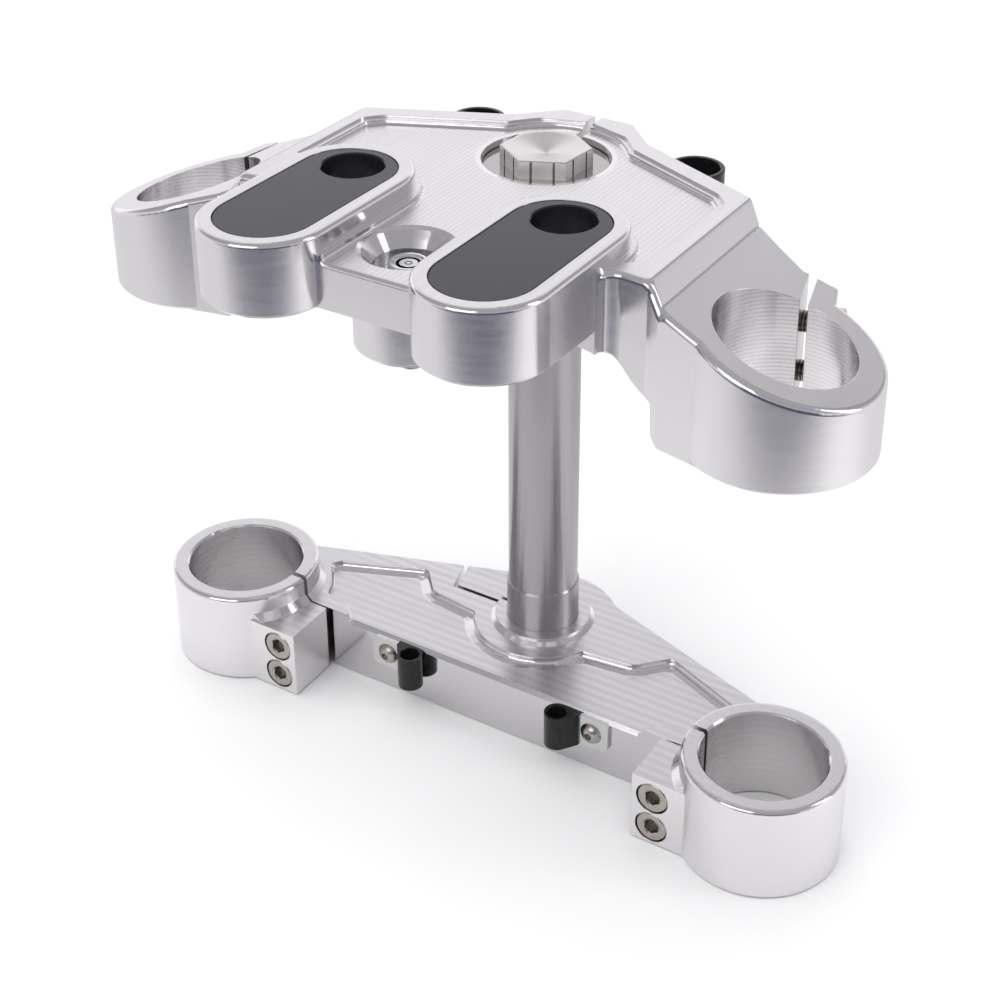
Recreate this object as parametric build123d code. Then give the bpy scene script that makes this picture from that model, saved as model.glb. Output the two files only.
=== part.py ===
from build123d import *
import math
import os

# ---------------------------------------------------------------------------
# Motorcycle triple clamp set: gull-wing upper clamp, lower clamp, steering stem.
# Units are millimetres. X = 0 is the mirror plane, Z = 0 is the bottom of the
# lower fork rings, +Y points from the fork tubes towards the steering stem.
# ---------------------------------------------------------------------------

# fork tube lines
fork_half = 124.4          # half of the distance between the fork tubes
fork_r = 24.5              # radius of every fork bore (49 mm tubes)
low_ring_y = 0.0           # centre of the lower rings
up_ring_y = -9.8           # centre of the upper rings: the tubes lean 3 degrees
low_top = 42.0             # top of the lower rings
up_mid = 225.9             # height of the upper ring top at the tube line
lean = math.degrees(math.atan((low_ring_y - up_ring_y) / (up_mid - low_top)))

# steering stem
stem_y = 45.4
stem_r = 14.6
seat_r = 15.3              # lower bearing seat
seat_top = 50.0
stem_bore_r = 11.0
stem_top = 238.3

# lower clamp
low_ring_r = 31.7
bar_front = 2.0            # front face of the bar
bar_top = 29.8             # raised level of the bar
bar_floor = 27.0           # front pocket level
ear_in = 81.0              # inner end of the pinch ears
ear_front = -24.0
ear_top = 31.1
low_slit_y0, low_slit_y1 = -0.3, 2.0
collar_r, collar_top = 20.3, 32.4
low_bolt_x = 89.9
low_bolt_z = (22.6, 8.4)

# upper clamp
rim_z = 245.3              # top of the rim
floor_z = 242.7            # milled floor of the pocket
slope = 0.34               # fall of the outer arms
fold_x1, fold_x2 = 84.5, 90.2
fold_z2 = up_mid + slope * (fork_half - fold_x2)
up_ring_r = 34.5
up_bottom = 186.0
web_z = 218.0              # underside of the plate
front_web_z = 225.3        # underside of the front web
front_y = -72.0
boss_x = 44.1              # handlebar riser bosses
boss_y0, boss_y1 = -67.2, -20.2
boss_r, insert_r = 24.3, 18.4
boss_top, boss_bottom = 252.3, 224.5
insert_bottom = 238.2
riser_y, riser_r = -16.9, 11.55
cb_r, cb_z = 24.8, 238.6   # counterbore under the stem washer
lock_y = -46.5
lock_housing_r, lock_housing_z = 20.0, 206.0

y_shift = 3.0              # puts the middle of the finished set on Y = 0

os.makedirs("parts", exist_ok=True)
parts = {}


def cyl(x, y, r, z0, z1):
    return Pos(x, y, (z0 + z1) / 2) * Cylinder(r, z1 - z0)


def cone(x, y, r0, r1, z0, z1):
    return Pos(x, y, (z0 + z1) / 2) * Cone(r0, r1, z1 - z0)


def box(x0, x1, y0, y1, z0, z1):
    return Pos((x0 + x1) / 2, (y0 + y1) / 2, (z0 + z1) / 2) * Box(x1 - x0, y1 - y0, z1 - z0)


def prism(points, z0, z1):
    wire = Polyline(*points, close=True)
    return Pos(0, 0, z0) * extrude(make_face(wire), z1 - z0)


def both(shape):
    return shape + mirror(shape, about=Plane.YZ)


def flip(shape):
    return mirror(shape, about=Plane.YZ)


def stadium(x, y0, y1, r, z0, z1):
    return cyl(x, y0, r, z0, z1) + cyl(x, y1, r, z0, z1) + box(x - r, x + r, y0, y1, z0, z1)


def rod(p, d, r, a, b):
    """cylinder of radius r along direction d from p + a*d to p + b*d"""
    v = Vector(*d).normalized()
    o = Vector(*p) + v * ((a + b) / 2)
    return Plane(origin=o, z_dir=v) * Cylinder(r, b - a)


def hexrod(p, d, flat, a, b):
    v = Vector(*d).normalized()
    o = Vector(*p) + v * a
    pl = Plane(origin=o, z_dir=v)
    return extrude(pl * RegularPolygon(flat / math.sqrt(3), 6), b - a)


def soften(shape, length, test, kind="chamfer"):
    """bevel or round the edges whose centre passes the test, one by one where they can't all go at once"""
    edges = [e for e in shape.edges() if test(e.center(), e)]
    if not edges:
        return shape
    op = chamfer if kind == "chamfer" else fillet
    try:
        out = op(edges, length)
        if out.is_valid and len(out.solids()) == len(shape.solids()):
            return out
    except Exception:
        pass
    print("edges taken one by one:", len(edges))
    for spot in [e.center() for e in edges]:
        near = [e for e in shape.edges() if (e.center() - spot).length < 0.4 and test(e.center(), e)]
        if not near:
            continue
        try:
            out = op(near[:1], length)
            if out.is_valid and len(out.solids()) == len(shape.solids()):
                shape = out
        except Exception:
            print("   left sharp near", round(spot.X, 1), round(spot.Y, 1), round(spot.Z, 1))
    return shape


def round2(face, test, radius):
    """round the corners of a flat face that pass the test, one by one"""
    spots = [(v.X, v.Y) for v in face.vertices() if test(v)]
    for x, y in spots:
        near = [v for v in face.vertices() if math.hypot(v.X - x, v.Y - y) < 0.01]
        if not near:
            continue
        for r in (radius, radius * 0.6, radius * 0.35):
            try:
                new = fillet(near[:1], r)
                if new.area > 0.5 * face.area:
                    face = new
                    break
            except Exception:
                continue
        else:
            print("corner left sharp", round(x, 1), round(y, 1))
    return face


def socket_bolt(p, d, r, length, head_r, head_h, key, tip=0.8):
    """cap screw; p is the seat under the head, d points out through the head"""
    b = rod(p, d, r, -length + tip, 0.0) + rod(p, d, head_r, 0.0, head_h)
    v = Vector(*d).normalized()
    o = Vector(*p) - v * (length - tip / 2)
    b += Plane(origin=o, z_dir=v) * Cone(r - tip, r, tip)
    b = soften(b, 0.5, lambda c, e: e.geom_type == GeomType.CIRCLE and abs(e.radius - head_r) < 1e-3
               and (c - Vector(*p)).dot(v) > head_h / 2)
    b -= hexrod(p, d, key, head_h - 0.62 * head_h, head_h + 1)
    b -= Plane(origin=Vector(*p) + v * (head_h - 0.2), z_dir=v) * Cone(key / 2 + 0.1, key / 2 + 0.75, 0.4001)
    return b


def button_screw(p, d, r, length, head_r, head_h, key):
    v = Vector(*d).normalized()
    pl = Plane(origin=Vector(*p), z_dir=v)
    b = rod(p, d, r, -length, 0.0)
    # domed head: sphere cap above the seat
    big = (head_r * head_r + head_h * head_h) / (2 * head_h)
    cap = pl * (Pos(0, 0, head_h - big) * Sphere(big))
    b += cap & rod(p, d, head_r, 0.0, head_h + 0.01)
    b -= hexrod(p, d, key, 0.35 * head_h, head_h + 1)
    return b


# -------------------------------------------------------------- fork tube axes
def fork_axis_y(z):
    return low_ring_y + (low_top - z) * (low_ring_y - up_ring_y) / (up_mid - low_top)


fork_dir = (0.0, fork_axis_y(1.0) - fork_axis_y(0.0), 1.0)


def fork_tool(r, z0, z1, x=fork_half):
    p = (x, fork_axis_y(0.0), 0.0)
    k = math.sqrt(1 + fork_dir[1] ** 2)
    return rod(p, fork_dir, r, z0 * k, z1 * k)


# ---------------------------------------------------------------- lower clamp
tang = (0.3176, 0.9482)
tx, ty = fork_half + low_ring_r * tang[0], low_ring_r * tang[1]
bar_face = make_face(Polyline((-115, bar_front), (115, bar_front), (tx, ty), (15, 70), (-15, 70), (-tx, ty), close=True))
bar_face += Pos(0, stem_y) * Circle(32.0)
bar_face = round2(bar_face, lambda v: abs(abs(v.X) - 24) < 6 and v.Y > 60, 9.0)
bar = extrude(bar_face, bar_top)
ear = box(ear_in, 112, ear_front, bar_front, 0, ear_top)
ear = soften(ear, 4.0, lambda c, e: abs(c.X - ear_in) < 1e-3 and abs(c.Y - bar_front) < 1e-3 and e.length > 20, "fillet")
ear = box(ear_in + 6, 112, ear_front + 6, bar_front, 0, ear_top) + ear
ring = cyl(fork_half, 0, low_ring_r, 0, low_top)
ring = soften(ring, 1.9, lambda c, e: c.Z > low_top - 0.1, "fillet")
ring = soften(ring, 1.0, lambda c, e: c.Z < 0.1)
skirt = cone(fork_half, 0, low_ring_r + 3.0, low_ring_r - 0.2, ear_top - 0.02, ear_top + 3.2)
skirt = skirt & box(ear_in + 3, fork_half - 12, ear_front + 1.0, bar_front, ear_top - 0.05, ear_top + 4)
skirt2 = cone(fork_half, 0, low_ring_r + 2.6, low_ring_r - 0.2, bar_top - 0.02, bar_top + 2.8)
skirt2 = skirt2 & extrude(make_face(Polyline((80, bar_front), (115, bar_front), (fork_half, 10), (tx - 6, ty - 4), (80, 46), close=True)), 60)

lower = bar + both(ear) + both(ring) + both(skirt) + both(skirt2)
lower += cyl(0, stem_y, collar_r, bar_top - 1, collar_top)
lower += cone(0, stem_y, 22.2, collar_r, bar_top - 0.01, bar_top + 1.3)

# front pocket between the rings, open at the front face
pk = [(-72, -6), (-72, 3.2), (-79.5, 9.6), (-88.2, 9.9), (-91.5, 17.5), (-97.2, 25.0), (-100.6, 29.3), (-97.6, 33.2),
      (-61.0, 48.2), (-49.8, 35.6), (-28.3, 33.0), (0, 33.0), (28.3, 33.0), (49.8, 35.6), (61.0, 48.2),
      (97.6, 33.2), (100.6, 29.3), (97.2, 25.0), (91.5, 17.5), (88.2, 9.9), (79.5, 9.6), (72, 3.2), (72, -6)]
pocket_face = make_face(Polyline(*pk, close=True)) - Pos(0, stem_y) * Circle(29.2)
pocket_face = round2(pocket_face, lambda v: abs(abs(v.X) - 49.8) < 0.1 and abs(v.Y - 35.6) < 0.1, 8.0)
pocket_face = round2(pocket_face, lambda v: abs(abs(v.X) - 61.0) < 0.1 and abs(v.Y - 48.2) < 0.1, 4.5)
pocket_face = round2(pocket_face, lambda v: abs(v.X) > 20 and 32 < v.Y < 34.5, 3.0)
pocket_face = round2(pocket_face, lambda v: v.Y > 0 and abs(v.X) > 61.5, 2.4)
pocket = Pos(0, 0, bar_floor) * extrude(pocket_face, 8)
pocket = soften(pocket, 1.9, lambda c, e: abs(c.Z - bar_floor) < 1e-3, "fillet")
lower -= pocket
# shallow bevel along the front edge of the pocket
lower -= Pos(0, bar_front, bar_floor) * Rot(45, 0, 0) * Box(140, 2.4, 2.4)

# bores
lower -= both(fork_tool(fork_r, -4, 60))
lower -= both(cone(fork_half, fork_axis_y(low_top), fork_r - 1.2, fork_r + 0.9, low_top - 2.0, low_top + 0.1))
lower -= cyl(0, stem_y, seat_r + 0.02, -1, 60)
lower -= cone(0, stem_y, seat_r + 1.4, seat_r, -0.01, 1.4)

# fork pinch slits
lower -= both(box(ear_in - 3, fork_half, low_slit_y0, low_slit_y1, -1, 60))
# stem pinch slit: along X, then out through the back
lower -= box(-43.5, -8, stem_y - 2.2, stem_y - 0.4, -1, 60)
lower -= prism([(-44.4, stem_y - 2.2), (-42.6, stem_y - 2.2), (-48.3, 64), (-50.3, 64)], -1, 60)

# fork pinch bolt holes with counterbores in the front of the ears
lb_dir = (0, -1, 0)
lb_seat = ear_front + 8.2
for bz in low_bolt_z:
    lower -= both(rod((low_bolt_x, lb_seat, bz), lb_dir, 6.9, 0, 20))
    lower -= both(rod((low_bolt_x, lb_seat, bz), lb_dir, 4.4, -(low_slit_y1 - lb_seat) + 0.5, 1))
    lower -= both(rod((low_bolt_x, lb_seat, bz), lb_dir, 3.91, -37.5, 1))
# stem pinch bolt hole, head at the back
sb = (-32.0, 55.2, 14.0)
lower -= rod(sb, (0, 1, 0), 7.0, 0, 20)
lower -= rod(sb, (0, 1, 0), 4.4, -10.5, 1)
lower -= rod(sb, (0, 1, 0), 3.91, -31.0, 1)
# hose clip screw holes
clip_x, clip_z = 49.6, 19.4
lower -= both(rod((clip_x, bar_front, clip_z), (0, -1, 0), 2.56, -14, 1))
lower = soften(lower, 0.8, lambda c, e: abs(c.Z) < 0.01 and e.length > 12 and abs(c.X) < 118)
parts["lower_clamp"] = lower

# ---------------------------------------------------------------- upper clamp
half = [(0, 85.5), (15, 85.5), (30, 70.5), (fold_x1, 46), (90.8, 41.5), (101, 36.2), (112.2, 31.0), (125.3, 32.3), (128.1, 24.0),
        (fork_half, 5), (fork_half, -30), (110.0, -39.4), (fold_x2, -35.2), (fold_x1, -32.2),
        (74.0, -31.2), (68.4, -31.2), (68.4, -60.0), (44.1, front_y), (0, front_y)]
outline = half + [(-x, y) for x, y in reversed(half) if x > 0]
plan = make_face(Polyline(*outline, close=True))
plan = round2(plan, lambda v: abs(abs(v.X) - 68.4) < 0.1 and abs(v.Y + 31.2) < 0.1, 5.5)
plan = round2(plan, lambda v: abs(abs(v.X) - 30) < 0.1, 8.0)
plan = round2(plan, lambda v: abs(abs(v.X) - 128) < 1.5 and 20 < v.Y < 27, 3.0)
plan = round2(plan, lambda v: abs(abs(v.X) - 125.3) < 0.1 and v.Y > 30, 1.2)
body = Pos(0, 0, up_bottom - 1) * extrude(plan, 70)

# side-to-side section: flat top, steep facet, sloping arm, arched underside
sec = [(0, rim_z), (fold_x1, rim_z), (fold_x2, fold_z2), (170, fold_z2 - slope * (170 - fold_x2)), (170, up_bottom),
       (91.5, up_bottom), (88.4, 189.5), (87.6, 201.5), (83.4, 203.2), (79.4, 206.4), (75.2, 211.0), (71.4, 214.6), (67.0, 217.0), (61.0, web_z), (0, web_z)]
sec_full = sec + [(-x, z) for x, z in reversed(sec) if x > 0]
sec_face = Plane.XZ * make_face(Polyline(*sec_full, close=True))
section = Pos(0, 150, 0) * extrude(sec_face, 300)
body = body & section
# front web and the zone between the bosses are thinner
body -= box(-87, 87, -120, -38, 170, front_web_z)


def top_z(x):
    x = abs(x)
    if x < fold_x1:
        return rim_z
    if x < fold_x2:
        return rim_z + (fold_z2 - rim_z) * (x - fold_x1) / (fold_x2 - fold_x1)
    return fold_z2 - slope * (x - fold_x2)


def front_edge(c, e):
    pts = [e @ 0, e @ 0.5, e @ 1]
    return (all(abs(p.Z - top_z(p.X)) < 0.02 for p in pts) and abs(pts[0].X - pts[2].X) > 0.01
            and all(abs(p.X) > 68.3 for p in pts) and (c.Y < -28 or abs(c.X) > 84) and pts[1].Y < 27 and pts[0].Y < 27 and pts[2].Y < 27)


# rounded front edges of the arms and rounded fork rings, joined afterwards
body = soften(body, 2.2, lambda c, e: front_edge(c, e) and abs(c.X) < 108, "fillet")
ring_top = [(60, fold_z2 + slope * (fold_x2 - 60)), (180, fold_z2 - slope * (180 - fold_x2)), (180, 170), (60, 170)]
ring_u = cyl(fork_half, up_ring_y, up_ring_r, up_bottom, 255) & (Pos(0, 150, 0) * extrude(Plane.XZ * make_face(Polyline(*ring_top, close=True)), 300))
ring_u = soften(ring_u, 2.4, lambda c, e: e.length > 100 and c.Z > up_bottom + 5, "fillet")
ring_u = soften(ring_u, 1.2, lambda c, e: abs(c.Z - up_bottom) < 0.01)
body = body + both(ring_u)
# bosses for the handlebar risers
boss = stadium(boss_x, boss_y0, boss_y1, boss_r, boss_bottom, boss_top)
boss = soften(boss, 1.7, lambda c, e: c.Z > boss_top - 0.01, "fillet")
boss = soften(boss, 1.2, lambda c, e: c.Z < boss_bottom + 0.01)
# housing of the lock
housing = cyl(0, lock_y, lock_housing_r, lock_housing_z, front_web_z + 4)
housing = soften(housing, 1.5, lambda c, e: c.Z < lock_housing_z + 0.01)

# pocket in the top
pin = [(0, 76.4), (18.0, 70.8), (26.2, 61.6), (71.6, 41.2), (76.5, 36.0), (76.5, -19.0), (68.0, -25.6), (40, -25.6), (40, -110), (0, -110)]
pin_full = pin + [(-x, y) for x, y in reversed(pin) if x > 0]
pf = make_face(Polyline(*pin_full, close=True))
pf += Pos(0, stem_y) * Circle(31.0)
for sx in (-1, 1):
    pf -= Pos(sx * boss_x, boss_y1) * Circle(boss_r + 2.0)
    pf -= Pos(sx * boss_x, (boss_y1 - 130) / 2) * Rectangle(2 * (boss_r + 2.0), boss_y1 + 130)
pf = round2(pf, lambda v: abs(abs(v.X) - 71.6) < 0.1 and abs(v.Y - 41.2) < 0.1, 5.0)
pf = round2(pf, lambda v: abs(abs(v.X) - 76.5) < 0.1 and v.Y > 30, 5.0)
pf = round2(pf, lambda v: abs(v.X) < 45 and v.Y > 50, 6.0)
tp = Pos(0, 0, floor_z) * extrude(pf, 20)
tp = soften(tp, 1.2, lambda c, e: abs(c.Z - floor_z) < 1e-3, "fillet")
body -= tp
# rolled edge on top of the front web
body = soften(body, 1.6, lambda c, e: abs(c.Y - front_y) < 0.1 and abs(c.Z - floor_z) < 0.1 and abs(c.X) < 10, "fillet")
# second, shallow step along the rim
pf2 = make_face(Polyline(*pin_full, close=True))
pf2 = round2(pf2, lambda v: v.Y > 30 and abs(v.X) > 15, 5.0)
pf2 = offset(pf2, 2.4)
body -= Pos(0, 0, rim_z - 0.9) * extrude(pf2, 10) & box(-90, 90, -5, 90, 200, 260)
body = body + both(boss) + housing

# fine grooves on the two fold lines
for gx, gz in ((fold_x1, rim_z), (fold_x2, fold_z2)):
    g = Pos(gx, 5, gz) * Rot(0, 45 if gx == fold_x1 else 20, 0) * Box(0.9, 90, 0.9)
    body -= both(g)

# insert seats and riser holes
body -= both(stadium(boss_x, boss_y0, boss_y1, insert_r + 0.12, insert_bottom, boss_top + 5))
body -= both(cyl(boss_x, riser_y, 12.4, 200, boss_top))
# stem bore, counterbore, slit
body -= cyl(0, stem_y, stem_r + 0.02, 180, 260)
body -= cyl(0, stem_y, cb_r, cb_z, 260)
body -= box(-1.5, 1.5, stem_y, 95, 180, 260)
# lock: dished lead-in, recess and bore
body -= cone(0, lock_y, 12.3, 17.0, 236.3, floor_z + 0.01)
body -= cone(0, lock_y, 16.2, 17.8, 241.7, floor_z + 0.01)
body -= cyl(0, lock_y, 12.35, 230.0, 240)
body -= cyl(0, lock_y, 9.56, 200, 240)

# fork bores and their slits
body -= both(fork_tool(fork_r, up_bottom - 10, 262))
s_dir = Vector(-0.237, 0.9715, 0)
n_dir = Vector(0.9715, 0.237, 0)
mid = Vector(118.9, 19.9, 205)
slit = Plane(origin=mid + s_dir * 9, x_dir=n_dir, z_dir=(0, 0, 1)) * Box(3.0, 34, 200)
slit = slit & box(90, 140, 6, 60, 150, 260)
body -= both(slit)
ub_pts = [(117.4, 25.6, 214.0), (117.4, 25.6, 194.4)]
seat_t = 5.6
for p in ub_pts:
    body -= both(rod(p, n_dir, 7.2, seat_t, 40))
    body -= both(rod(p, n_dir, 4.4, 0, seat_t + 1))
    body -= both(rod(p, n_dir, 3.91, -20, 2))
# stem pinch bolt across the slit at the back
usb = (14.0, 77.6, 231.5)
body -= rod(usb, (1, 0, 0), 6.9, 0, 30)
body -= rod(usb, (1, 0, 0), 4.4, -14.0, 1)
body -= rod(usb, (1, 0, 0), 3.91, -32, 1)

# cable clip screw holes in the angled back walls
w_dir = Vector(54.5, -24.5, 0).normalized()
w_nrm = Vector(-w_dir.Y, w_dir.X, 0)
w0 = Vector(30, 70.5, 0) + w_dir * 15.5
cclip_z = 231.5
cs = w0 + w_dir * 15.6 + Vector(0, 0, cclip_z)
body -= both(rod(cs, w_nrm, 2.56, -13, 2))
parts["upper_clamp"] = body

# ----------------------------------------------------------------- stem group
stem = cyl(0, stem_y, seat_r, 1.0, seat_top) + cyl(0, stem_y, stem_r, 20, stem_top)
stem += cone(0, stem_y, seat_r, stem_r, seat_top, seat_top + 0.8)
stem -= cyl(0, stem_y, stem_bore_r, 0, 300)
stem = soften(stem, 0.8, lambda c, e: c.Z < 1.1 or c.Z > stem_top - 0.1)
parts["steering_stem"] = stem

washer = cyl(0, stem_y, 24.3, cb_z, cb_z + 1.5) - cyl(0, stem_y, stem_bore_r + 0.3, 200, 260)
washer = soften(washer, 0.4, lambda c, e: c.Z > cb_z + 1.4)
parts["stem_washer"] = washer

cap_r, cap_z0, cap_z1 = 17.7, cb_z + 1.5, 247.2
cap = Pos(0, stem_y, cap_z0) * extrude(Rot(0, 0, 25) * RegularPolygon(cap_r, 6), cap_z1 - cap_z0)
cap = soften(cap, 0.35, lambda c, e: c.Z > cap_z1 - 0.01)
cap -= cone(0, stem_y, 0.25, 14.2, cap_z1 - 2.9, cap_z1 + 0.05)
for k in range(6):
    ang = math.radians(25 + 30 + 60 * k)
    nx, ny = math.cos(ang), math.sin(ang)
    ap = cap_r * math.cos(math.radians(30))
    for off in (-4.3, 4.3):
        gx, gy = nx * ap - ny * off, stem_y + ny * ap + nx * off
        cap -= Pos(gx, gy, (cap_z0 + cap_z1) / 2) * Rot(0, 0, math.degrees(ang)) * Box(0.9, 0.7, cap_z1 - cap_z0 - 0.8)
cap += cyl(0, stem_y, stem_bore_r - 0.06, 212, cap_z0)
parts["stem_cap_bolt"] = cap

# ------------------------------------------------------------ handlebar inserts
ins = stadium(boss_x, boss_y0, boss_y1, insert_r, insert_bottom, boss_top - 0.15)
ins = soften(ins, 0.5, lambda c, e: c.Z > boss_top - 0.3)
ins -= cyl(boss_x, riser_y, riser_r, 200, 260)
ins -= cone(boss_x, riser_y, riser_r, riser_r + 0.5, boss_top - 0.65, boss_top - 0.149)
parts["bar_insert_right"] = ins
parts["bar_insert_left"] = flip(ins)

# ------------------------------------------------------------------------ bolts
for i, p in enumerate(ub_pts):
    seat = Vector(*p) + n_dir * seat_t
    b = socket_bolt(tuple(seat), tuple(n_dir), 3.85, 24, 6.4, 7.4, 6.0)
    parts["upper_fork_bolt_right_%d" % (i + 1)] = b
    parts["upper_fork_bolt_left_%d" % (i + 1)] = flip(b)
for i, bz in enumerate(low_bolt_z):
    b = socket_bolt((low_bolt_x, lb_seat, bz), lb_dir, 3.85, 36, 6.5, 8.0, 6.0)
    parts["lower_fork_bolt_right_%d" % (i + 1)] = b
    parts["lower_fork_bolt_left_%d" % (i + 1)] = flip(b)
parts["upper_stem_bolt"] = socket_bolt(usb, (1, 0, 0), 3.85, 30, 6.5, 8.0, 6.0)
parts["lower_stem_bolt"] = socket_bolt(sb, (0, 1, 0), 3.85, 29, 6.5, 8.0, 6.0)


# ------------------------------------------------------------------------ clips
def clip(r_out, r_in, m_in, m_out, tip_u, screw_u, plate_t, z0, z1, wedge_u):
    """loop clip in a local frame: wall at v = 0, loop centre at u = 0, tongue along +u"""
    vc = r_out + 0.15
    start = 0.62 * r_out
    ring2 = Pos(0, vc) * Circle(m_out) - Pos(0, vc) * Circle(m_in)
    plate = make_face(Polyline((start, 0.15), (tip_u, 0.15), (tip_u, plate_t + 0.15), (start, plate_t + 0.15), close=True))
    a = math.radians(-38)
    q = (m_out * math.cos(a), vc + m_out * math.sin(a))
    q2 = (m_in * math.cos(a - 0.5), vc + m_in * math.sin(a - 0.5))
    link = make_face(Polyline(q, (wedge_u, plate_t + 0.15), (start + 0.2, 0.6), q2, close=True)) - Pos(0, vc) * Circle(m_in)
    metal_face = ring2 + plate + link
    metal = Pos(0, 0, z0) * extrude(metal_face, z1 - z0)
    metal -= Pos(screw_u, 1, (z0 + z1) / 2) * Rot(90, 0, 0) * Cylinder(2.65, 10)
    # bevelled end of the tongue
    metal = soften(metal, 1.6, lambda c, e: abs(c.X - tip_u) < 1e-3 and abs(c.Y - (0.15 + plate_t / 2)) < 0.01 and e.length < plate_t + 0.1)
    # split line between the two layers of the tongue
    metal -= Pos((screw_u + tip_u) / 2 + 2, 0.15 + plate_t / 2, (z0 + z1) / 2) * Box(tip_u - screw_u + 8, 0.12, z1 - z0 + 4) & \
        Pos(tip_u, 0, (z0 + z1) / 2) * Box(1.6, 20, 60)
    b = math.radians(28)
    t = (r_out * math.cos(b), vc + r_out * math.sin(b))
    tear = make_face(Polyline((0, vc), t, (wedge_u + 0.8, plate_t + 1.0), (wedge_u + 0.8, 0.15), (0, 0.15), close=True))
    rub = (Pos(0, vc) * Circle(r_out) + tear) - Pos(0, vc) * Circle(r_in)
    sleeve = Pos(0, 0, z0 - 0.7) * extrude(rub, z1 - z0 + 1.4)
    sleeve = soften(sleeve, 0.3, lambda c, e: e.geom_type == GeomType.CIRCLE and (abs(c.Z - (z0 - 0.7)) < 1e-3 or abs(c.Z - (z1 + 0.7)) < 1e-3))
    g = 0.05
    keep = (Pos(0, vc) * Circle(m_out + g) - Pos(0, vc) * Circle(m_in - g))
    keep += make_face(Polyline((start - g, 0.0), (tip_u, 0.0), (tip_u, plate_t + 0.15 + g), (start - g, plate_t + 0.15 + g), close=True))
    keep += make_face(Polyline((q[0] + 0.05, q[1] + 0.12), (wedge_u + 0.1, plate_t + 0.15 + g), (start + 0.2, 0.5), (q2[0], q2[1] - 0.02), close=True)) - Pos(0, vc) * Circle(m_in - g)
    sleeve -= Pos(0, 0, z0 - g) * extrude(keep, z1 - z0 + 2 * g)
    return metal, sleeve, vc


def place(shape, origin, u_dir):
    """u_dir is the tongue direction, v points out of the wall"""
    return Plane(origin=origin, x_dir=u_dir, z_dir=(0, 0, 1)) * shape


m, s, vc = clip(5.3, 4.0, 4.42, 4.9, 21.4, 13.8, 1.8, clip_z - 7.0, clip_z + 7.0, 7.6)
# right side: tongue points to +X, wall normal is -Y, so the clip is mirrored
m_r = Pos(clip_x - 13.8, bar_front, 0) * mirror(m, about=Plane.XZ)
s_r = Pos(clip_x - 13.8, bar_front, 0) * mirror(s, about=Plane.XZ)
parts["hose_clip_strap_right"] = m_r
parts["hose_clip_sleeve_right"] = s_r
parts["hose_clip_strap_left"] = flip(m_r)
parts["hose_clip_sleeve_left"] = flip(s_r)
b = button_screw((clip_x, bar_front - 1.95, clip_z), (0, -1, 0), 2.5, 14.5, 4.75, 2.75, 3.0)
parts["hose_clip_screw_right"] = b
parts["hose_clip_screw_left"] = flip(b)

m, s, vc = clip(11.0, 9.1, 9.8, 10.4, 21.4, 15.6, 2.0, cclip_z - 7.0, cclip_z + 7.0, 9.6)
# right side of the back wall: the tongue points outwards, v away from the wall
m_r = place(m, Vector(w0.X, w0.Y, 0), w_dir)
s_r = place(s, Vector(w0.X, w0.Y, 0), w_dir)
parts["cable_clip_strap_right"] = m_r
parts["cable_clip_sleeve_right"] = s_r
parts["cable_clip_strap_left"] = flip(m_r)
parts["cable_clip_sleeve_left"] = flip(s_r)
b = button_screw(tuple(cs + w_nrm * 2.16), tuple(w_nrm), 2.5, 14.0, 4.75, 2.75, 3.0)
parts["cable_clip_screw_right"] = b
parts["cable_clip_screw_left"] = flip(b)

# ------------------------------------------------------------------------- lock
lc = cyl(0, lock_y, 9.5, 203.0, 231.0) + cyl(0, lock_y, 12.25, 230.0, 231.6) + cyl(0, lock_y, 7.3, 231.0, 237.4)
lc = soften(lc, 0.7, lambda c, e: c.Z > 237.3 and e.length > 40)
lc -= cyl(0, lock_y, 5.15, 200, 240)
lc -= cone(0, lock_y, 5.15, 5.8, 236.75, 237.401)
parts["lock_cylinder"] = lc
plug = cyl(0, lock_y, 5.1, 203.0, 236.7)
plug -= cyl(0, lock_y, 4.5, 229.0, 240) - cyl(0, lock_y, 3.25, 220.0, 245)
plug -= box(-0.9, 0.9, lock_y - 5.6, lock_y - 3.0, 229.0, 240)
plug -= cyl(0, lock_y, 1.5, 236.0, 240) - cyl(0, lock_y, 0.8, 230, 245)
plug += box(-3.0, 3.0, lock_y - 3.0, lock_y + 3.0, 199.8, 203.2)
plug -= cyl(0, lock_y, 2.05, 190, 212)
parts["lock_plug"] = plug
cam = cyl(0, lock_y, 6.5, 200.0, 202.2) + box(-18, 0, lock_y - 4.5, lock_y + 4.5, 200.0, 202.2) + cyl(-18, lock_y, 4.5, 200.0, 202.2)
cam -= box(-3.05, 3.05, lock_y - 3.05, lock_y + 3.05, 190, 210)
parts["lock_cam"] = cam
cam_screw = cyl(0, lock_y, 2.0, 199.8, 209.5) + cyl(0, lock_y, 4.6, 197.2, 199.8)
cam_screw = soften(cam_screw, 0.5, lambda c, e: c.Z < 197.3)
cam_screw -= hexrod((0, lock_y, 197.0), (0, 0, 1), 3.0, -1, 1.8)
parts["lock_cam_screw"] = cam_screw

# --------------------------------------------------------------------- write out
for name, shape in parts.items():
    solids = shape.solids()
    shape = solids[0] if len(solids) == 1 else Compound(children=list(solids))
    shape = Pos(0, y_shift, 0) * shape
    export_step(shape, "parts/%s.step" % name)
    bb = shape.bounding_box()
    print("%-26s solids %d valid %s vol %.0f  x %.1f..%.1f y %.1f..%.1f z %.1f..%.1f" % (
        name, len(solids), shape.is_valid, shape.volume, bb.min.X, bb.max.X, bb.min.Y, bb.max.Y, bb.min.Z, bb.max.Z))
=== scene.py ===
import bpy, bmesh, math
from mathutils import Vector, Matrix

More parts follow.
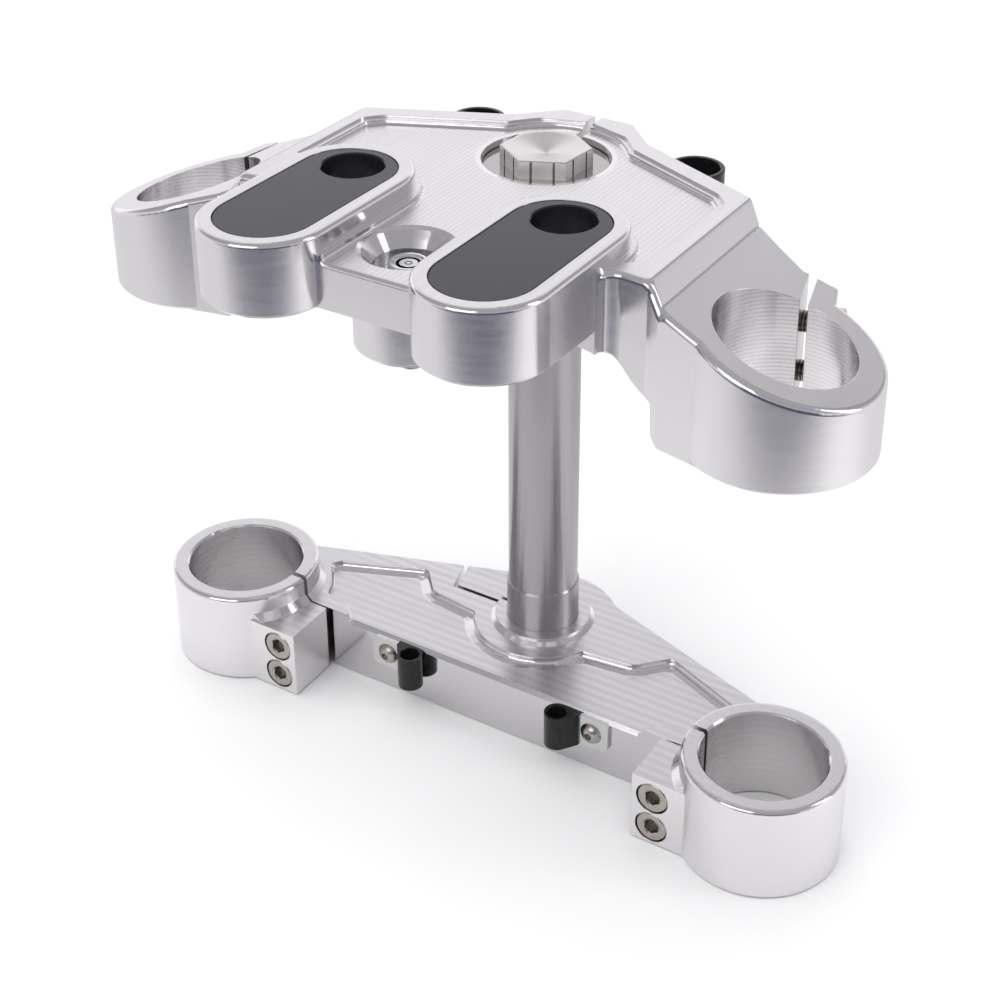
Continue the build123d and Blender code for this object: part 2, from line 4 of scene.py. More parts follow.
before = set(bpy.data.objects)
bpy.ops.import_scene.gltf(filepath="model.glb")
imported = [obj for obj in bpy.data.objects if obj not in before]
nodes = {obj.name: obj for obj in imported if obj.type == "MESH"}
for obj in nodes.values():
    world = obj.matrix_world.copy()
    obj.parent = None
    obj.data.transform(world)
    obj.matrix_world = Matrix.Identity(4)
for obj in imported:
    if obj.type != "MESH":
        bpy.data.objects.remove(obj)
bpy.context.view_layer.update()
BODY = "clamp_set"

scene = bpy.context.scene
scene.view_settings.view_transform = "Standard"
scene.view_settings.look = "None"
scene.view_settings.exposure = 0.0


# --------------------------------------------------------------------- nodes
class Net:
    """small helper that builds a material's nodes"""

    def __init__(self, name):
        self.mat = bpy.data.materials.new(name)
        self.mat.use_nodes = True
        self.t = self.mat.node_tree
        self.t.nodes.clear()
        self.out = self.t.nodes.new("ShaderNodeOutputMaterial")
        self.bsdf = self.t.nodes.new("ShaderNodeBsdfPrincipled")
        self.t.links.new(self.bsdf.outputs[0], self.out.inputs[0])

    def link(self, a, b):
        self.t.links.new(a, b)

    def put(self, sock, v):
        if hasattr(v, "is_linked") or isinstance(v, bpy.types.NodeSocket):
            self.t.links.new(v, sock)
        else:
            sock.default_value = v

    def m(self, op, a, b=None, c=None, clamp=False):
        n = self.t.nodes.new("ShaderNodeMath")
        n.operation = op
        n.use_clamp = clamp
        self.put(n.inputs[0], a)
        if b is not None:
            self.put(n.inputs[1], b)
        if c is not None:
            self.put(n.inputs[2], c)
        return n.outputs[0]

    def v(self, op, a, b=None):
        n = self.t.nodes.new("ShaderNodeVectorMath")
        n.operation = op
        self.put(n.inputs[0], a)
        if b is not None:
            self.put(n.inputs[1], b)
        return n.outputs[1] if op in ("LENGTH", "DOT_PRODUCT", "DISTANCE") else n.outputs[0]

    def ramp(self, x, lo, hi, a=0.0, b=1.0, smooth=True):
        n = self.t.nodes.new("ShaderNodeMapRange")
        n.interpolation_type = "SMOOTHSTEP" if smooth else "LINEAR"
        n.clamp = True
        self.put(n.inputs["Value"], x)
        self.put(n.inputs["From Min"], lo)
        self.put(n.inputs["From Max"], hi)
        self.put(n.inputs["To Min"], a)
        self.put(n.inputs["To Max"], b)
        return n.outputs["Result"]

    def band(self, x, lo, hi, soft):
        return self.m("MULTIPLY", self.ramp(x, lo - soft, lo + soft), self.ramp(x, hi - soft, hi + soft, 1.0, 0.0))

    def xyz(self, vec):
        n = self.t.nodes.new("ShaderNodeSeparateXYZ")
        self.put(n.inputs[0], vec)
        return n.outputs[0], n.outputs[1], n.outputs[2]

    def vec(self, x, y, z):
        n = self.t.nodes.new("ShaderNodeCombineXYZ")
        for i, q in enumerate((x, y, z)):
            self.put(n.inputs[i], q)
        return n.outputs[0]

    def pos(self):
        n = self.t.nodes.new("ShaderNodeTexCoord")
        return n.outputs["Object"]

    def normal(self):
        n = self.t.nodes.new("ShaderNodeNewGeometry")
        return n.outputs["Normal"]

    def noise(self, vec, scale, detail=2.0, rough=0.5):
        n = self.t.nodes.new("ShaderNodeTexNoise")
        self.put(n.inputs["Vector"], vec)
        n.inputs["Scale"].default_value = scale
        n.inputs["Detail"].default_value = detail
        n.inputs["Roughness"].default_value = rough
        return n.outputs["Fac"]

    def mixf(self, f, a, b):
        n = self.t.nodes.new("ShaderNodeMix")
        n.data_type = "FLOAT"
        self.put(n.inputs[0], f)
        self.put(n.inputs[2], a)
        self.put(n.inputs[3], b)
        return n.outputs[0]

    def mixv(self, f, a, b):
        n = self.t.nodes.new("ShaderNodeMix")
        n.data_type = "VECTOR"
        n.clamp_factor = True
        self.put(n.inputs[0], f)
        self.put(n.inputs[4], a)
        self.put(n.inputs[5], b)
        return n.outputs[1]

    def mixc(self, f, a, b):
        n = self.t.nodes.new("ShaderNodeMix")
        n.data_type = "RGBA"
        self.put(n.inputs[0], f)
        self.put(n.inputs[6], a)
        self.put(n.inputs[7], b)
        return n.outputs[2]

    def bump(self, height, dist, strength=1.0, normal=None):
        n = self.t.nodes.new("ShaderNodeBump")
        n.inputs["Strength"].default_value = strength
        n.inputs["Distance"].default_value = dist
        self.put(n.inputs["Height"], height)
        if normal is not None:
            self.put(n.inputs["Normal"], normal)
        return n.outputs[0]

    def near_line(self, x, y, pts):
        """distance from (x, y) to the nearest of the straight pieces between the points, all in metres"""
        best = None
        for (ax, ay), (bx, by) in zip(pts, pts[1:]):
            ux, uy = bx - ax, by - ay
            ll = ux * ux + uy * uy
            px, py = self.m("SUBTRACT", x, ax), self.m("SUBTRACT", y, ay)
            t = self.m("ADD", self.m("MULTIPLY", px, ux / ll), self.m("MULTIPLY", py, uy / ll), clamp=True)
            qx, qy = self.m("MULTIPLY_ADD", t, -ux, px), self.m("MULTIPLY_ADD", t, -uy, py)
            d = self.m("SQRT", self.m("ADD", self.m("MULTIPLY", qx, qx), self.m("MULTIPLY", qy, qy)))
            best = d if best is None else self.m("MINIMUM", best, d)
        return best

    def set(self, **kw):
        names = {"color": "Base Color", "metallic": "Metallic", "rough": "Roughness", "aniso": "Anisotropic", "tangent": "Tangent",
                 "normal": "Normal", "coat": "Coat Weight", "coat_rough": "Coat Roughness", "spec": "Specular IOR Level", "ior": "IOR"}
        for k, v in kw.items():
            self.put(self.bsdf.inputs[names[k]], v)
        return self.mat


def rgb(*c):
    return (c[0], c[1], c[2], 1.0)


def aluminium(name, top_lines, fork_bores, polished_face_painted_shade, ring_tone=0.75):
    """milled billet: fine tool lines on level faces, brushed walls, polished radii"""
    n = Net(name)
    p = n.pos()
    nrm = n.normal()
    x, y, z = n.xyz(p)
    nx, ny, nz = n.xyz(nrm)
    anz = n.m("ABSOLUTE", nz)
    level = n.ramp(anz, 0.90, 0.94)
    wall = n.ramp(anz, 0.03, 0.07, 1.0, 0.0)
    if top_lines == "y":
        # walls that stand inside the outline of the pocket are polished
        behind = n.m("MAXIMUM", n.ramp(y, -0.0235, -0.0215), n.ramp(n.m("ABSOLUTE", x), 0.0210, 0.0230, 1.0, 0.0))
        inside = n.m("MULTIPLY", n.m("MULTIPLY", n.ramp(z, 0.2424, 0.2430), behind), n.ramp(n.m("ABSOLUTE", x), 0.0780, 0.0800, 1.0, 0.0))
        wall = n.m("MULTIPLY", wall, n.m("MULTIPLY_ADD", inside, -0.85, 1.0))
    polish = n.m("SUBTRACT", 1.0, n.m("MAXIMUM", level, wall), clamp=True)

    # tool lines on the level faces
    along = y if top_lines == "x" else x
    across = x if top_lines == "x" else y
    wob = n.noise(n.vec(n.m("MULTIPLY", x, 14.0), n.m("MULTIPLY", y, 14.0), 0.0), 1.0, 1.0)
    pitch = 840.0 if top_lines == "x" else 1010.0
    coarse = 228.0 if top_lines == "x" else 480.0
    band = n.m("MULTIPLY_ADD", n.m("SINE", n.m("ADD", n.m("MULTIPLY", along, coarse * 2 * math.pi), n.m("MULTIPLY", wob, 1.2))), 0.5, 0.5)
    phase = n.m("ADD", n.m("MULTIPLY", along, pitch * 2 * math.pi), n.m("MULTIPLY", wob, 2.4))
    wave = n.m("MULTIPLY_ADD", n.m("SINE", phase), 0.5, 0.5)
    if top_lines == "x":
        fine = n.noise(n.vec(n.m("MULTIPLY", across, 25.0), n.m("MULTIPLY", along, 2600.0), 0.0), 1.0, 3.0, 0.7)
        streak = n.noise(n.vec(n.m("MULTIPLY", across, 9.0), n.m("MULTIPLY", along, 520.0), 3.0), 1.0, 2.0)
    else:
        fine = n.noise(n.vec(n.m("MULTIPLY", along, 2400.0), n.m("MULTIPLY", across, 30.0), 0.0), 1.0, 3.0, 0.7)
        streak = n.noise(n.vec(n.m("MULTIPLY", along, 420.0), n.m("MULTIPLY", across, 9.0), 3.0), 1.0, 2.0)
    h_top = n.m("MULTIPLY", n.m("ADD", n.m("MULTIPLY", wave, 0.9), n.m("MULTIPLY", fine, 0.75)), level)

    # brushed walls: lines run level round the part
    q = n.vec(n.m("MULTIPLY", x, 24.0), n.m("MULTIPLY", y, 24.0), n.m("MULTIPLY", z, 2300.0))
    brush = n.noise(q, 1.0, 3.0, 0.65)
    q2 = n.vec(n.m("MULTIPLY", x, 60.0), n.m("MULTIPLY", y, 60.0), n.m("MULTIPLY", z, 420.0))
    brush2 = n.noise(q2, 1.0, 2.0)
    h_wall = n.m("MULTIPLY", n.m("ADD", n.m("MULTIPLY", brush, 0.55), n.m("MULTIPLY", brush2, 0.25)), wall)
    height = n.m("ADD", h_top, h_wall)

    rough = n.m("ADD", n.m("MULTIPLY", level, n.m("MULTIPLY_ADD", streak, 0.16, 0.27)),
                n.m("ADD", n.m("MULTIPLY", wall, n.m("MULTIPLY_ADD", brush2, 0.10, 0.17)), n.m("MULTIPLY", polish, 0.13)))
    if fork_bores:
        # turning rings inside the fork bores
        ax = n.m("SUBTRACT", n.m("ABSOLUTE", x), 0.1244)
        ay = n.m("SUBTRACT", y, n.m("MULTIPLY_ADD", z, -0.05329, 0.005238))
        rr = n.m("SQRT", n.m("ADD", n.m("MULTIPLY", ax, ax), n.m("MULTIPLY", ay, ay)))
        inbore = n.ramp(rr, 0.0246, 0.0249, 1.0, 0.0)
        ring = n.m("MULTIPLY_ADD", n.m("SINE", n.m("MULTIPLY_ADD", z, fork_bores * 2 * math.pi, n.m("MULTIPLY", wob, 1.5))), 0.5, 0.5)
        height = n.m("ADD", height, n.m("MULTIPLY", n.m("MULTIPLY", ring, inbore), ring_tone * 1.7))
        rough = n.m("ADD", rough, n.m("MULTIPLY", n.m("MULTIPLY", inbore, wall), 0.05))
    # polished front face of the lower bar: no tool lines and low roughness, and its colour is also painted darker as
    # painted shade
    if polished_face_painted_shade:
        polish_and_shade_mask = n.m("MULTIPLY", n.m("MULTIPLY", n.band(y, 0.0043, 0.0057, 0.0003), n.ramp(ny, -0.99, -0.97, 1.0, 0.0)),
                   n.ramp(n.m("ABSOLUTE", x), 0.080, 0.083, 1.0, 0.0))
        height = n.m("MULTIPLY", height, n.m("MULTIPLY_ADD", polish_and_shade_mask, -0.92, 1.0))
        rough = n.mixf(polish_and_shade_mask, rough, 0.085)
    calm = None
    if top_lines == "x":
        # shallow polished track of the cutter along the foot of the front pocket's wall
        arc = [(0.0292 * math.sin(a), 0.0484 - 0.0292 * math.cos(a)) for a in (math.radians(v) for v in range(0, 71, 10))]
        foot = n.near_line(n.m("ABSOLUTE", x), y, arc[:-1] + [(0.0283, 0.0360), (0.0470, 0.0382), (0.0518, 0.0408), (0.0588, 0.0487), (0.0640, 0.0499), (0.0976, 0.0362)])
        low = n.m("MULTIPLY", level, n.band(z, 0.0262, 0.0285, 0.0002))
        rise = n.m("MULTIPLY", n.ramp(foot, 0.0012, 0.0046, 1.0, 0.0), low)
        height = n.m("ADD", height, n.m("MULTIPLY", rise, 60.0))
        calm = n.m("MULTIPLY", n.ramp(foot, 0.0040, 0.0050, 1.0, 0.0), low)
    else:
        # polished lip round the recess of the stem's washer
        sy = n.m("SUBTRACT", y, 0.0484)
        sr = n.m("SQRT", n.m("ADD", n.m("MULTIPLY", x, x), n.m("MULTIPLY", sy, sy)))
        lip = n.m("MULTIPLY", level, n.ramp(sr, 0.0262, 0.0272, 1.0, 0.0))
        height = n.m("SUBTRACT", height, n.m("MULTIPLY", n.ramp(sr, 0.0248, 0.0270, 1.0, 0.0), n.m("MULTIPLY", level, 28.0)))
        calm = lip
    rough = n.mixf(calm, rough, 0.15)
    big = n.noise(p, 38.0, 3.0, 0.6)
    flat_pocket = n.m("MULTIPLY", level, n.ramp(nz, 0.985, 0.995))
    if top_lines == "y":
        flat_pocket = n.m("MULTIPLY", flat_pocket, n.ramp(z, 0.2430, 0.2436, 1.0, 0.15))
    tone = n.m("ADD", n.m("MULTIPLY", n.m("SUBTRACT", big, 0.5), 0.14), n.m("MULTIPLY", n.m("SUBTRACT", wave, 0.5), n.m("MULTIPLY", flat_pocket, 0.35)))
    banded = flat_pocket if top_lines == "y" else n.m("MULTIPLY", flat_pocket, n.ramp(n.m("ABSOLUTE", x), 0.092, 0.098, 1.0, 0.2))
    tone = n.m("ADD", tone, n.m("MULTIPLY", n.m("SUBTRACT", band, 0.5), n.m("MULTIPLY", banded, 0.62)))
    tone = n.m("ADD", tone, n.m("MULTIPLY", n.m("SUBTRACT", fine, 0.5), n.m("MULTIPLY", level, 0.30)))
    tone = n.m("MULTIPLY", tone, n.m("MULTIPLY_ADD", calm, -0.8, 1.0))
    tone = n.m("ADD", tone, n.m("MULTIPLY", n.m("SUBTRACT", brush, 0.5), n.m("MULTIPLY", wall, 0.50)))
    tone = n.m("ADD", tone, n.m("MULTIPLY", n.m("SUBTRACT", brush2, 0.5), n.m("MULTIPLY", wall, 0.25)))
    if fork_bores:
        tone = n.m("ADD", tone, n.m("MULTIPLY", n.m("SUBTRACT", ring, 0.5), n.m("MULTIPLY", inbore, ring_tone)))
    f = n.m("ADD", 0.5, tone, clamp=True)
    col = n.mixc(f, rgb(0.70, 0.68, 0.692), rgb(0.85, 0.827, 0.84))
    # painted shade: the polished front face's colour is darkened to stand in for the dim table it reflects
    if polished_face_painted_shade:
        col = n.mixc(n.m("MULTIPLY", polish_and_shade_mask, 0.6), col, rgb(0.55, 0.535, 0.55))
    soft = n.t.nodes.new("ShaderNodeBevel")
    soft.samples = 4
    soft.inputs["Radius"].default_value = 0.0005
    # spread reflections across the tool lines
    up = n.vec(0.0, 0.0, 1.0)
    acr = n.vec(0.0, 1.0, 0.0) if top_lines == "x" else n.vec(1.0, 0.0, 0.0)
    tang = n.mixv(level, up, acr)
    n.set(color=col, metallic=1.0, rough=rough, aniso=n.m("MULTIPLY_ADD", wall, 0.22, 0.68), tangent=tang, normal=n.bump(height, 0.0000075, normal=soft.outputs[0]))
    return n.mat


def turned(name, c0, c1, r0, r1, axis="z", centre=(0.0, 0.0), line=1800.0, bump=0.000006, aniso=0.7):
    """turned metal: rings round a vertical axis on level faces, level lines on walls"""
    n = Net(name)
    p = n.pos()
    x, y, z = n.xyz(p)
    nx, ny, nz = n.xyz(n.normal())
    level = n.ramp(n.m("ABSOLUTE", nz), 0.5, 0.9)
    dx, dy = n.m("SUBTRACT", x, centre[0]), n.m("SUBTRACT", y, centre[1])
    rr = n.m("SQRT", n.m("ADD", n.m("MULTIPLY", dx, dx), n.m("MULTIPLY", dy, dy)))
    rings = n.noise(n.vec(n.m("MULTIPLY", rr, line), 0.0, 0.0), 1.0, 2.0, 0.7)
    lines = n.noise(n.vec(n.m("MULTIPLY", x, 20.0), n.m("MULTIPLY", y, 20.0), n.m("MULTIPLY", z, line)), 1.0, 3.0, 0.7)
    big = n.noise(p, 90.0, 3.0, 0.6)
    h = n.mixf(level, lines, rings)
    f = n.m("ADD", n.m("MULTIPLY", h, 0.55), n.m("MULTIPLY", big, 0.45), clamp=True)
    col = n.mixc(f, c0, c1)
    rough = n.ramp(f, 0.3, 0.7, r0, r1)
    rad = n.vec(dx, dy, 0.0)
    tang = n.mixv(level, n.vec(0.0, 0.0, 1.0), rad)
    n.set(color=col, metallic=1.0, rough=rough, aniso=aniso, tangent=tang, normal=n.bump(h, bump))
    return n.mat


def cap_head(name, c0, c1, r0, r1):
    """turned dish on a six-sided head; its side faces get a lighter colour as painted light, and two dark lines each,
    painted shade standing in for grooves
    """
    mat = turned(name, c0, c1, r0, r1, centre=(0.0, 0.0484), line=1500.0, bump=0.0000015, aniso=0.75)
    n = Net.__new__(Net)
    n.mat, n.t = mat, mat.node_tree
    n.bsdf = next(q for q in n.t.nodes if q.type == "BSDF_PRINCIPLED")
    x, y, z = n.xyz(n.pos())
    nx, ny, nz = n.xyz(n.normal())
    side = n.ramp(n.m("ABSOLUTE", nz), 0.3, 0.6, 1.0, 0.0)
    turn = n.m("ARCTAN2", n.m("SUBTRACT", y, 0.0484), x)
    part = n.m("SUBTRACT", n.m("FLOORED_MODULO", n.m("SUBTRACT", turn, math.radians(25.0)), math.radians(60.0)), math.radians(30.0))
    t = n.m("ABSOLUTE", n.m("MULTIPLY", n.m("TANGENT", part), 0.01533))
    groove_painted_shade = n.m("MULTIPLY", n.band(t, 0.00385, 0.00475, 0.00012), side)
    old = n.bsdf.inputs["Base Color"].links[0].from_socket
    # painted light: the side faces get a much lighter colour than the dish, standing in for the light they catch
    sides_painted_light = n.mixc(side, old, rgb(0.93, 0.915, 0.90))
    # painted shade: two dark lines per side face stand in for the shade inside grooves
    n.put(n.bsdf.inputs["Base Color"], n.mixc(n.m("MULTIPLY", groove_painted_shade, 0.85), sides_painted_light, rgb(0.10, 0.095, 0.09)))
    rough = n.bsdf.inputs["Roughness"].links[0].from_socket
    n.put(n.bsdf.inputs["Roughness"], n.mixf(side, rough, 0.40))
    return mat


def plated(name, c0, c1, r0, r1, scale=700.0, bump=0.00001):
    n = Net(name)
    p = n.pos()
    g = n.noise(p, scale, 3.0, 0.6)
    big = n.noise(p, 160.0, 3.0, 0.6)
    f = n.m("ADD", n.m("MULTIPLY", g, 0.5), n.m("MULTIPLY", big, 0.5), clamp=True)
    n.set(color=n.mixc(f, c0, c1), metallic=1.0, rough=n.ramp(f, 0.3, 0.7, r0, r1), normal=n.bump(g, bump))
    return n.mat


def threaded(name, c0, c1, r0, r1):
    """plated screw whose shank carries a bumped thread of 1.25 mm pitch, with painted shade in the thread's valleys"""
    n = Net(name)
    p = n.pos()
    x, y, z = n.xyz(p)
    s = n.m("ADD", n.m("MULTIPLY", n.m("SUBTRACT", n.m("ABSOLUTE", x), 0.1174), 0.9715), n.m("MULTIPLY", n.m("SUBTRACT", y, 0.0286), 0.237))
    shank = n.ramp(s, 0.0052, 0.0055, 1.0, 0.0)
    turn = n.m("MULTIPLY_ADD", n.m("SINE", n.m("MULTIPLY", s, 2 * math.pi / 0.00125)), 0.5, 0.5)
    h = n.m("MULTIPLY", turn, shank)
    g = n.noise(p, 420.0, 3.0, 0.6)
    # painted shade: the thread's valleys are painted dark brown to stand in for the shade in them
    valley_painted_shade = n.m("MULTIPLY", n.m("SUBTRACT", 1.0, turn), shank)
    col = n.mixc(n.m("MULTIPLY", valley_painted_shade, 0.85), n.mixc(g, c0, c1), rgb(0.10, 0.075, 0.045))
    n.set(color=col, metallic=1.0, rough=n.ramp(g, 0.3, 0.7, r0, r1), normal=n.bump(h, 0.0004))
    return n.mat


def black(name, c0, c1, r0, r1, scale, bump, coat=0.0, spec=0.5):
    n = Net(name)
    p = n.pos()
    g = n.noise(p, scale, 3.0, 0.6)
    big = n.noise(p, 55.0, 3.0, 0.55)
    f = n.m("ADD", n.m("MULTIPLY", g, 0.4), n.m("MULTIPLY", big, 0.6), clamp=True)
    n.set(color=n.mixc(f, c0, c1), metallic=0.0, rough=n.ramp(f, 0.3, 0.7, r0, r1), normal=n.bump(g, bump), spec=spec)
    n.bsdf.inputs["Coat Weight"].default_value = coat
    n.bsdf.inputs["Coat Roughness"].default_value = 0.06
    return n.mat


MAT = {
    "upper": aluminium("upper_aluminium", "y", 640.0, False),
    "lower": aluminium("lower_aluminium", "x", 300.0, True, 0.18),
    "stem": turned("ground_steel", rgb(0.375, 0.36, 0.37), rgb(0.435, 0.42, 0.43), 0.23, 0.27, centre=(0.0, 0.0484), line=2600.0, bump=0.000001, aniso=0.9),
    "cap": cap_head("turned_stainless", rgb(0.62, 0.60, 0.59), rgb(0.72, 0.70, 0.69), 0.22, 0.28),
    "washer": turned("polished_washer", rgb(0.36, 0.35, 0.345), rgb(0.50, 0.485, 0.48), 0.07, 0.13, centre=(0.0, 0.0484), line=700.0, bump=0.000004, aniso=0.2),
    "bolt": plated("stainless_bolt", rgb(0.36, 0.33, 0.30), rgb(0.50, 0.47, 0.44), 0.20, 0.34, scale=420.0, bump=0.000005),
    "thread": threaded("threaded_bolt", rgb(0.50, 0.45, 0.38), rgb(0.62, 0.57, 0.50), 0.22, 0.34),
    "zinc": plated("zinc_plate", rgb(0.56, 0.565, 0.56), rgb(0.74, 0.74, 0.73), 0.26, 0.42),
    "chrome": turned("chrome_plate", rgb(0.74, 0.74, 0.75), rgb(0.84, 0.84, 0.85), 0.08, 0.14, centre=(0.0, -0.0435), line=900.0, bump=0.000002, aniso=0.3),
    "plug": plated("plug_metal", rgb(0.60, 0.60, 0.60), rgb(0.78, 0.78, 0.78), 0.18, 0.30),
    "insert": black("insert_black", rgb(0.013, 0.012, 0.015), rgb(0.018, 0.016, 0.020), 0.17, 0.21, 900.0, 0.000002, spec=0.36),
    "vinyl": black("vinyl_black", rgb(0.006, 0.006, 0.007), rgb(0.014, 0.014, 0.015), 0.14, 0.22, 500.0, 0.000008, coat=0.12, spec=0.24),
}


def pick(name):
    if name == "upper_clamp":
        return MAT["upper"]
    if name == "lower_clamp":
        return MAT["lower"]
    if name == "steering_stem":
        return MAT["stem"]
    if name == "stem_cap_bolt":
        return MAT["cap"]
    if name == "stem_washer":
        return MAT["washer"]
    if "insert" in name:
        return MAT["insert"]
    if "sleeve" in name:
        return MAT["vinyl"]
    if "strap" in name or name == "lock_cam":
        return MAT["zinc"]
    if name == "lock_cylinder":
        return MAT["chrome"]
    if name == "lock_plug":
        return MAT["plug"]
    if name.startswith("upper_fork_bolt"):
        return MAT["thread"]
    return MAT["bolt"]


for name, o in nodes.items():
    mat = pick(name)
    if not o.material_slots:
        o.data.materials.append(mat)
    for s in o.material_slots:
        s.link = "DATA"
        s.material = mat

# --------------------------------------------------------------------- camera
cam_data = bpy.data.cameras.new("camera")
cam = bpy.data.objects.new("camera", cam_data)
scene.collection.objects.link(cam)
right = Vector((0.85620741, 0.51661906, 0.00369055))
upv = Vector((-0.24303769, 0.39646902, 0.88529374))
fwd = Vector((-0.45589642, 0.758892, -0.46501761))
rot = Matrix((right, upv, -fwd)).transposed()
cam.matrix_world = Matrix.Translation((0.332967, -0.515581, 0.519019)) @ rot.to_4x4()
cam_data.sensor_width = 36.0
cam_data.lens = 1879.0430 * 36.0 / 1000.0
cam_data.shift_x = (500.0 - 532.376) / 1000.0
cam_data.shift_y = (315.966 - 500.0) / 1000.0
cam_data.clip_start = 0.01
cam_data.clip_end = 50.0
scene.camera = cam

# ---------------------------------------------------------------------- stage
bm = bmesh.new()
bmesh.ops.create_grid(bm, x_segments=24, y_segments=24, size=6.0)
me = bpy.data.meshes.new("floor")
bm.to_mesh(me)
bm.free()
floor = bpy.data.objects.new("floor", me)
floor.location = (0, 0, -0.0003)
scene.collection.objects.link(floor)
fl = Net("floor_paper")
fp = fl.pos()
g = fl.noise(fp, 3.0, 2.0)
fl.set(color=fl.mixc(g, rgb(0.90, 0.90, 0.90), rgb(0.93, 0.93, 0.93)), metallic=0.0, rough=0.9, normal=fl.bump(fl.noise(fp, 900.0, 2.0), 0.00002))
me.materials.append(fl.mat)

# ---------------------------------------------------------------------- light
world = bpy.data.worlds.new("studio")
scene.world = world
world.use_nodes = True
wt = world.node_tree
wt.nodes.clear()
wo = wt.nodes.new("ShaderNodeOutputWorld")
wb = wt.nodes.new("ShaderNodeBackground")
tc = wt.nodes.new("ShaderNodeTexCoord")
sep = wt.nodes.new("ShaderNodeSeparateXYZ")
wt.links.new(tc.outputs["Generated"], sep.inputs[0])
ramp = wt.nodes.new("ShaderNodeValToRGB")
els = ramp.color_ramp.elements
els[0].position = 0.0
els[0].color = (0.90, 0.89, 0.90, 1)
els[1].position = 1.0
els[1].color = (0.46, 0.46, 0.48, 1)
for pos, v in ((0.10, 0.88), (0.24, 0.74), (0.36, 0.46), (0.55, 0.40), (0.75, 0.42)):
    e = els.new(pos)
    e.color = (v, v, v * 1.03, 1)
wt.links.new(sep.outputs[2], ramp.inputs[0])
# one wide soft box behind the set, to its left
facing = wt.nodes.new("ShaderNodeVectorMath")
facing.operation = "DOT_PRODUCT"
wt.links.new(tc.outputs["Generated"], facing.inputs[0])
facing.inputs[1].default_value = (-0.6, 0.8, 0.0)
edge = wt.nodes.new("ShaderNodeMapRange")
edge.interpolation_type = "SMOOTHSTEP"
edge.inputs["From Min"].default_value = 0.62
edge.inputs["From Max"].default_value = 0.79
wt.links.new(facing.outputs["Value"], edge.inputs["Value"])
blend = wt.nodes.new("ShaderNodeMix")
blend.data_type = "RGBA"
wt.links.new(edge.outputs["Result"], blend.inputs[0])
wt.links.new(ramp.outputs[0], blend.inputs[6])
blend.inputs[7].default_value = (1.13, 1.125, 1.16, 1.0)
wt.links.new(blend.outputs[2], wb.inputs[0])
wb.inputs[1].default_value = 1.0
wt.links.new(wb.outputs[0], wo.inputs[0])


def area(name, loc, target, sx, sy, power, color=(1, 1, 1)):
    d = bpy.data.lights.new(name, "AREA")
    d.shape = "RECTANGLE"
    d.size, d.size_y = sx, sy
    d.energy = power
    d.color = color
    o = bpy.data.objects.new(name, d)
    scene.collection.objects.link(o)
    o.location = loc
    o.rotation_euler = (Vector(target) - Vector(loc)).to_track_quat("-Z", "Y").to_euler()
    return o


sun_data = bpy.data.lights.new("even_light", "SUN")
sun_data.energy = 2.0
sun_data.angle = math.radians(80)
sun = bpy.data.objects.new("even_light", sun_data)
scene.collection.objects.link(sun)
sun.rotation_euler = (math.radians(8), math.radians(-10), 0)
sun.visible_glossy = False
area("front_box", (-0.1, -1.5, 1.05), (0, 0, 0.2), 1.2, 0.7, 6.0)
area("right_box", (1.4, 0.5, 0.9), (0, 0, 0.15), 0.35, 1.1, 3.5)


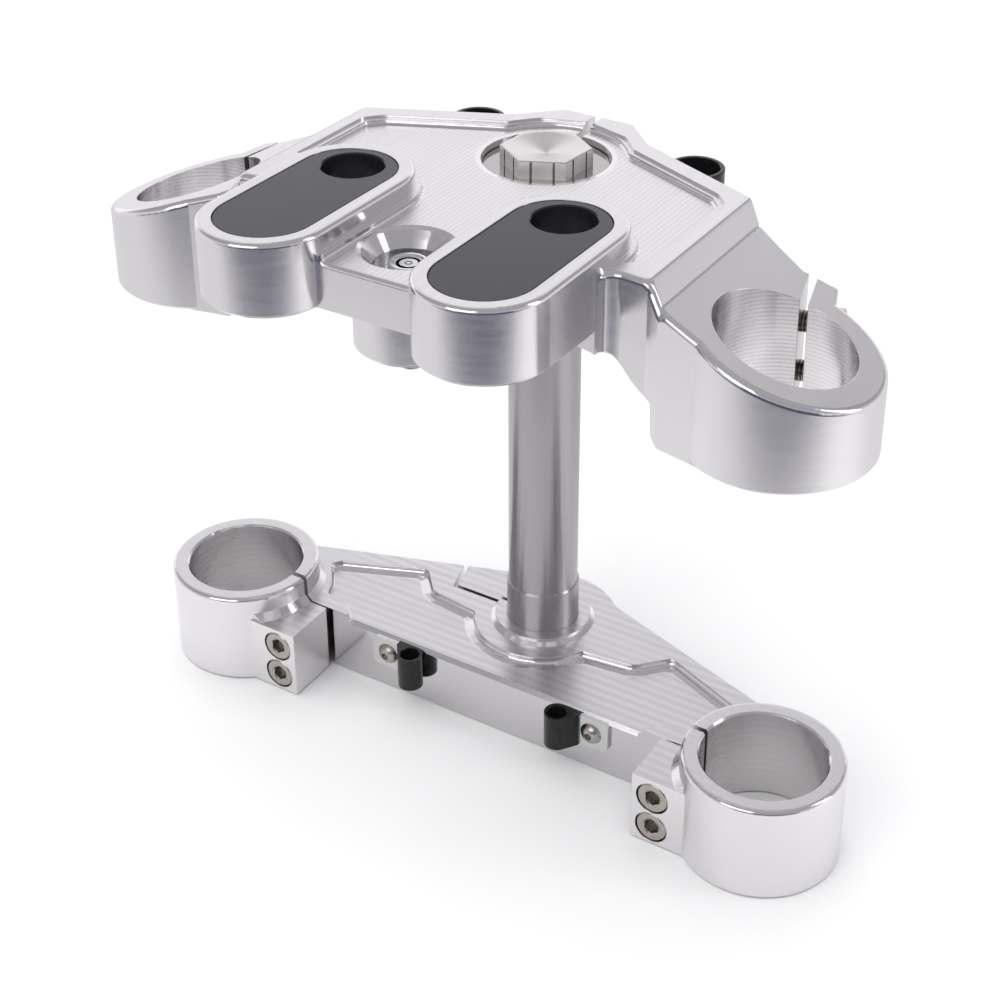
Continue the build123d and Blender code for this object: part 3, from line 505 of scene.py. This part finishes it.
def flag(name, cx, cy, hx, hy, soft, alpha, tone, turn=0.0, tilt=0.0, lift=0.0):
    """dark card with soft edges, lying or standing on the floor, seen only in reflections"""
    bm = bmesh.new()
    bmesh.ops.create_grid(bm, x_segments=2, y_segments=2, size=1.0)
    me = bpy.data.meshes.new(name)
    bm.to_mesh(me)
    bm.free()
    o = bpy.data.objects.new(name, me)
    o.scale = (hx + soft, hy + soft, 1.0)
    o.location = (cx, cy, 0.0001)
    o.rotation_euler = (math.radians(tilt), 0, math.radians(turn))
    o.location.z += lift
    scene.collection.objects.link(o)
    n = Net(name)
    px, py, pz = n.xyz(n.pos())
    ax, ay = n.m("ABSOLUTE", px), n.m("ABSOLUTE", py)
    fx = n.ramp(ax, (hx - soft) / (hx + soft), 1.0, 1.0, 0.0)
    fy = n.ramp(ay, (hy - soft) / (hy + soft), 1.0, 1.0, 0.0)
    n.t.nodes.remove(n.bsdf)
    glow = n.t.nodes.new("ShaderNodeEmission")
    glow.inputs["Color"].default_value = rgb(tone, tone * 1.05, tone * 2.0)
    clear = n.t.nodes.new("ShaderNodeBsdfTransparent")
    mix = n.t.nodes.new("ShaderNodeMixShader")
    n.link(n.m("MULTIPLY", n.m("MULTIPLY", fx, fy), alpha), mix.inputs[0])
    n.link(clear.outputs[0], mix.inputs[1])
    n.link(glow.outputs[0], mix.inputs[2])
    n.link(mix.outputs[0], n.out.inputs[0])
    me.materials.append(n.mat)
    o.visible_camera = False
    o.visible_diffuse = False
    o.visible_shadow = False
    o.visible_transmission = False
    o.visible_volume_scatter = False
    return o


# the white table ends 0.4 m in front of the set; past that edge the room is dark
flag("flag_room", 0.411 * 1.899, -0.912 * 1.899, 2.0, 1.5, 0.03, 0.95, 0.055, turn=24.3)
flag("flag_stand", 0.54 * 1.35, -0.84 * 1.35, 1.1, 0.22, 0.08, 0.92, 0.06, turn=32.8, tilt=90.0, lift=0.24)


def reflection_shade_sheet():
    """grey sheet lying on the table, more opaque away from the set, seen only in reflections: painted reflection shade
    that dims the table there
    """
    bm = bmesh.new()
    bmesh.ops.create_circle(bm, cap_ends=True, segments=48, radius=2.5)
    me = bpy.data.meshes.new("flag_reflection_shade")
    bm.to_mesh(me)
    bm.free()
    o = bpy.data.objects.new("flag_reflection_shade", me)
    o.location = (0, 0, 0.00005)
    scene.collection.objects.link(o)
    n = Net("flag_reflection_shade")
    px, py, pz = n.xyz(n.pos())
    px = n.m("MAXIMUM", n.m("MULTIPLY", px, 0.3), n.m("MULTIPLY", px, -0.7))
    r = n.m("SQRT", n.m("ADD", n.m("MULTIPLY", px, px), n.m("MULTIPLY", py, py)))
    n.t.nodes.remove(n.bsdf)
    # painted reflection shade: the dark emission stands in for a dimmer table as seen in the metal
    glow = n.t.nodes.new("ShaderNodeEmission")
    glow.inputs["Color"].default_value = rgb(0.05, 0.05, 0.05)
    clear = n.t.nodes.new("ShaderNodeBsdfTransparent")
    mix = n.t.nodes.new("ShaderNodeMixShader")
    n.link(n.ramp(r, 0.10, 0.30, 0.0, 0.28), mix.inputs[0])
    n.link(clear.outputs[0], mix.inputs[1])
    n.link(glow.outputs[0], mix.inputs[2])
    n.link(mix.outputs[0], n.out.inputs[0])
    me.materials.append(n.mat)
    o.visible_camera = False
    o.visible_diffuse = False
    o.visible_shadow = False
    o.visible_transmission = False
    o.visible_volume_scatter = False


reflection_shade_sheet()
